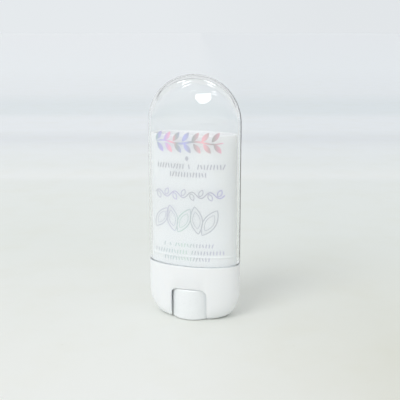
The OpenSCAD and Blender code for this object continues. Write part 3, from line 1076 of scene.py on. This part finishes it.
PHOTO_PX = 400
FOCAL_PX = 743.6
SENSOR_MM = 36
AIM_Z = 36.51 * MM
AIM_SIDE = 1.75 * MM
DISTANCE = 227.9 * MM
lens = bpy.data.cameras.new("camera")
lens.sensor_width = SENSOR_MM
lens.lens = FOCAL_PX * SENSOR_MM / PHOTO_PX
lens.clip_start = 0.01
lens.clip_end = 40
right = Vector(ACROSS)
back = Vector((math.sin(YAW) * math.cos(PITCH), -math.cos(YAW) * math.cos(PITCH), math.sin(PITCH)))
aim = Vector((0, 0, AIM_Z)) + right * AIM_SIDE
camera = aimed("camera", lens, aim + back * DISTANCE, aim)
bpy.context.scene.camera = camera
bpy.context.scene.view_settings.view_transform = "Standard"
print("lens:", round(lens.lens, 1), "mm, at", [round(v / MM) for v in camera.location], "mm")

# %% [markdown]
# ## Light
# Soft daylight comes from the front, a little to the left of the camera. For everything that is
# neither mirrored nor seen through plastic, the room is an even glow, weaker on the right. What the
# plastic mirrors and bends is brighter in front than behind. The far wall has one darker band,
# higher than the stick, which draws the grey lines along the edge of the clear dome.

# %% World
NEAR_WALL = 1.06
FAR_WALL = ((-0.2, 0.94), (0.24, 0.94), (0.27, 0.4), (0.34, 0.4), (0.38, 0.92), (1.0, 0.92))
GLOW_LEFT, GLOW_RIGHT = 0.88, 0.74
SKY_LEFT, SKY_RIGHT = 1.0, 0.965
world = bpy.data.worlds.new("soft studio")
bpy.context.scene.world = world
world.use_nodes = True
tree = world.node_tree
tree.nodes.clear()
heading = tree.nodes.new("ShaderNodeTexCoord").outputs["Generated"]
facing = add(tree, "ShaderNodeSeparateXYZ", {"Vector": heading})
far_wall = coloured(tree, facing.outputs["Z"], [(rise, (grey, grey, grey, 1.0)) for rise, grey in FAR_WALL])
away = add(tree, "ShaderNodeVectorMath", (heading, AWAY), operation="DOT_PRODUCT").outputs["Value"]
across = add(tree, "ShaderNodeVectorMath", (heading, ACROSS), operation="DOT_PRODUCT").outputs["Value"]
is_far = add(tree, "ShaderNodeMapRange", {"Value": away, "From Min": -0.1, "From Max": 0.3})
walls = add(tree, "ShaderNodeMix", {0: is_far, 2: NEAR_WALL, 3: far_wall}, data_type="FLOAT")
ends = {"Value": facing.outputs["X"], "From Min": -1.0, "To Min": GLOW_LEFT, "To Max": GLOW_RIGHT}
lit_side = add(tree, "ShaderNodeMapRange", ends)
ends = {"Value": across, "From Min": -0.05, "From Max": 0.16, "To Min": SKY_LEFT, "To Max": SKY_RIGHT}
sky_side = add(tree, "ShaderNodeMapRange", ends)
glow = add(tree, "ShaderNodeBackground", {"Color": linear("#f8f9fa"), "Strength": lit_side})
room = add(tree, "ShaderNodeBackground", {"Color": linear("#eef1f3"), "Strength": walls})
sky = add(tree, "ShaderNodeBackground", {"Color": linear("#e6eaed"), "Strength": sky_side})
rays = tree.nodes.new("ShaderNodeLightPath").outputs
mirrored = add(
    tree, "ShaderNodeMath", (rays["Is Glossy Ray"], rays["Is Transmission Ray"]), operation="MAXIMUM"
)
inner = add(tree, "ShaderNodeMixShader", (mirrored, glow, room))
both = add(tree, "ShaderNodeMixShader", (rays["Is Camera Ray"], inner, sky))
add(tree, "ShaderNodeOutputWorld", {"Surface": both})
print("world:", world.name)


# %% Lamps
DOME = Vector((0, 0, SPRING_Z))


def seen_at(azimuth, elevation, distance):
    """A place round the dome: azimuth 0 is in front, and 90 is on the stick's right (+X)."""
    turn, lift = math.radians(azimuth), math.radians(elevation)
    ray = Vector((math.sin(turn) * math.cos(lift), -math.cos(turn) * math.cos(lift), math.sin(lift)))
    return DOME + ray * distance


daylight = bpy.data.lights.new("daylight", "SUN")
daylight.energy = 1.0
daylight.angle = math.radians(34)
key = aimed("daylight", daylight, seen_at(-24, 40, 1), DOME)
key.visible_glossy = False
key.visible_transmission = False
print("lamp:", key.name)

# %% [markdown]
# ### What the dome mirrors
# The photograph shows a window as a bright patch on the dome, and ceiling tubes as short strokes.
# Each is drawn here at its place in the photograph. A ray from the camera through that place is
# turned back by the dome's skin, and the light is put where that ray goes.


# %% Mirrored places
SHORT_OF = 30 * MM
STEP = 0.02 * MM


def dome_gap(spot):
    """Below zero inside the dome's skin, and above zero outside it."""
    up = min(max((spot.z - SPRING_Z) / DOME_RISE, 0.0), 0.9999)
    wide = CASE_A * math.sqrt(1 - up**2)
    deep = CASE_B * (1 - up**DOME_POWER) ** (1 / DOME_POWER)
    return (spot.x / wide) ** 2 + (spot.y / deep) ** 2 - 1


def mirrored_at(across_px, down_px, reach):
    """The place that is mirrored at a pixel of the photograph, at a distance from the dome."""
    above = back.cross(right)
    ray = right * (across_px - PHOTO_PX / 2) - above * (down_px - PHOTO_PX / 2) - back * FOCAL_PX
    ray.normalize()
    spot = camera.location + ray * (DISTANCE - SHORT_OF)
    while dome_gap(spot) > 0:
        spot = spot + ray * STEP
    nudges = [Vector((STEP, 0, 0)), Vector((0, STEP, 0)), Vector((0, 0, STEP))]
    normal = Vector([dome_gap(spot + nudge) - dome_gap(spot - nudge) for nudge in nudges]).normalized()
    return spot + ray.reflect(normal) * reach


# %% Highlights
def stroke(start, end, width):
    """The four corners of a stroke between two places in the photograph."""
    way = Vector((end[0] - start[0], end[1] - start[1])).normalized()
    side = Vector((-way.y, way.x)) * width / 2
    return [Vector(start) + side, Vector(end) + side, Vector(end) - side, Vector(start) - side]


def mirrored_light(name, outlines, reach, strength):
    """Glowing shapes that show only where something mirrors them."""
    bm = bmesh.new()
    for outline in outlines:
        bm.faces.new([bm.verts.new(mirrored_at(x, y, reach)) for x, y in outline])
    mesh = bpy.data.meshes.new(name)
    bm.to_mesh(mesh)
    bm.free()
    light = new_object(name, mesh)
    material, tree, principled, place = shader(name)
    principled.inputs["Base Color"].default_value = (0, 0, 0, 1)
    principled.inputs["Emission Color"].default_value = linear("#fdfeff")
    principled.inputs["Emission Strength"].default_value = strength
    light.data.materials.append(material)
    light.visible_camera = False
    light.visible_diffuse = False
    light.visible_transmission = False
    light.visible_shadow = False
    print(name, len(outlines), "shapes")


WINDOW = ((195.8, 94), (208, 94), (210.8, 92.8), (211, 99.8), (205.4, 103.6), (200.3, 103.6), (195.6, 99))
STROKES = (
    ((177, 83.2), (186, 80.2), 0.9), ((182, 84.4), (191, 81.1), 1.3), ((182, 87.4), (191, 84.1), 1.1),
    ((203.8, 80.1), (215.8, 86.0), 1.3), ((207.0, 84.0), (213.9, 87.9), 1.1),
    ((211.5, 91.6), (216, 92.0), 0.9), ((212.5, 93.6), (217, 95.4), 1.0), ((188.5, 92), (196, 90.4), 0.6),
)
mirrored_light("window", [WINDOW], 0.6, 12.0)
mirrored_light("ceiling tubes", [stroke(*item) for item in STROKES], 0.9, 10.0)
